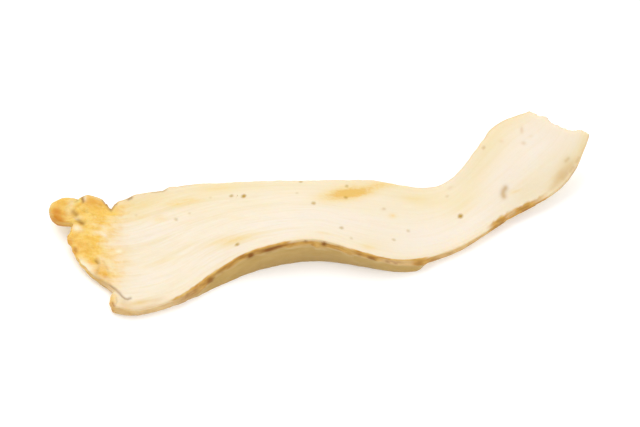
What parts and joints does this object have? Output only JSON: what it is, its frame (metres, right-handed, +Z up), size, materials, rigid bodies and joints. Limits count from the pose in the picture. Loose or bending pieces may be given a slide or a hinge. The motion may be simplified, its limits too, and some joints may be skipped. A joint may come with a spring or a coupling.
{
  "type": "dried polygonatum rhizome slice",
  "caption": "Curved strip of dried polygonatum rhizome: cream cut flesh, thicker at one browned side, a torn end with a small knob and a cut end that lifts off the surface.",
  "frame": {"origin": "on the surface that the slice lies on, under the middle of its bounding box", "axes": "+X along the strip towards the cut end that lifts, +Y towards the far edge, +Z up off the surface"},
  "size_m": [0.083, 0.0336, 0.0077],
  "materials": {
    "dried_flesh": "dry cut plant flesh, slightly waxy and translucent, cream in the middle, golden at the torn end and brown along the skin rim"
  },
  "bodies": {
    "root": {"rhizome_slice": "dried_flesh"}
  },
  "joints": []
}
